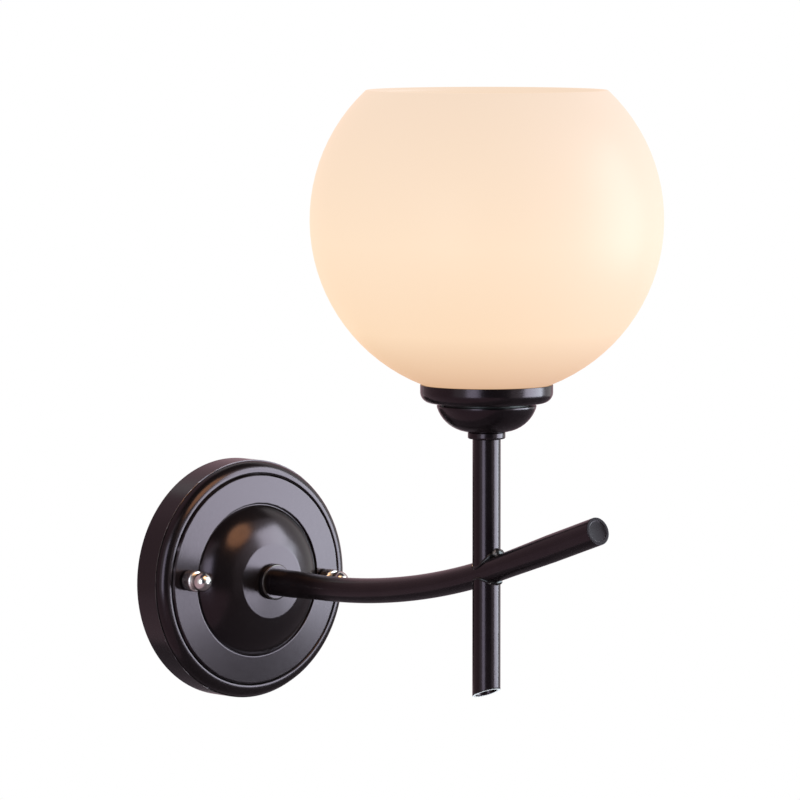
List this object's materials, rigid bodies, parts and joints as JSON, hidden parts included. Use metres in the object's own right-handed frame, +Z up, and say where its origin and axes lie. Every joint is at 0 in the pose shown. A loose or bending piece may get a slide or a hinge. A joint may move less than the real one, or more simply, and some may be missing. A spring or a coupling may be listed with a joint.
{
  "type": "globe wall sconce",
  "caption": "Wall light with a round spun canopy, a bent tube arm crossing an upright tube, and a two-step cup that holds an open-topped opal glass globe.",
  "frame": {"origin": "centre of the cross strap's back face on the wall, which is the centre of the canopy's rim", "axes": "+Y into the wall, -Y out into the room along the arm, +Z up, +X to the right when facing the wall"},
  "size_m": [0.15, 0.249, 0.2734],
  "materials": {
    "black_paint": "satin black enamel",
    "worn_collar": "black enamel with a bare front edge",
    "zinc_steel": "zinc plated steel",
    "chrome": "polished",
    "opal_glass": "opal white, satin outside",
    "black_plastic": "moulded, semi-gloss",
    "porcelain": "glazed",
    "brass": "bright",
    "tinned_brass": "tinned",
    "cap_metal": "rolled",
    "black_glass": "glassy",
    "frosted_glass": "frosted",
    "white_plastic": "moulded",
    "brown_sleeve": "smooth",
    "blue_sleeve": "smooth",
    "green_yellow_sleeve": "smooth, two-coloured"
  },
  "bodies": {
    "fixture": {"wall_strap": "zinc_steel", "canopy_studs": "zinc_steel", "stud_locknuts": "zinc_steel", "canopy": "black_paint", "canopy_nipple": "zinc_steel", "canopy_locknut": "zinc_steel", "lock_washer": "zinc_steel", "arm_collar": "worn_collar", "arm_tube": "black_paint", "arm_end_plate": "black_paint", "stem_tube": "black_paint", "tail_tube": "black_paint", "stem_weld": "black_paint", "tail_weld": "black_paint", "stem_collar": "black_paint", "cup_nipple": "zinc_steel", "cup_bowl": "black_paint", "gallery_dish": "black_paint", "lampholder_base": "black_plastic", "lampholder_skirt": "black_plastic", "lampholder_insert": "porcelain", "screw_shell": "brass", "centre_contact": "brass", "lampholder_terminals": "brass", "globe_glass": "opal_glass", "terminal_block": "white_plastic", "terminal_tubes": "brass", "terminal_screws": "zinc_steel", "block_fixing_screw": "zinc_steel", "earth_screw": "zinc_steel", "earth_tag": "tinned_brass", "live_lead": "brown_sleeve", "neutral_lead": "blue_sleeve", "earth_lead": "green_yellow_sleeve"},
    "cap_nut_left": {"cap_nut_left": "chrome"},
    "cap_nut_right": {"cap_nut_right": "chrome"},
    "shade_ring": {"shade_ring": "black_plastic"},
    "bulb": {"bulb_cap": "cap_metal", "bulb_insulator": "black_glass", "bulb_contact": "tinned_brass", "bulb_envelope": "frosted_glass"}
  },
  "joints": [
    {"name": "cap_nut_left_unscrew", "type": "slide", "parent": "fixture", "child": "cap_nut_left", "axis": [0, -1, 0], "range_m": [0, 0.01]},
    {"name": "cap_nut_right_unscrew", "type": "slide", "parent": "fixture", "child": "cap_nut_right", "axis": [0, -1, 0], "range_m": [0, 0.01]},
    {"name": "shade_ring_unscrew", "type": "slide", "parent": "fixture", "child": "shade_ring", "axis": [0, 0, 1], "range_m": [0, 0.02]},
    {"name": "bulb_unscrew", "type": "slide", "parent": "fixture", "child": "bulb", "axis": [0, 0, 1], "range_m": [0, 0.13]}
  ]
}
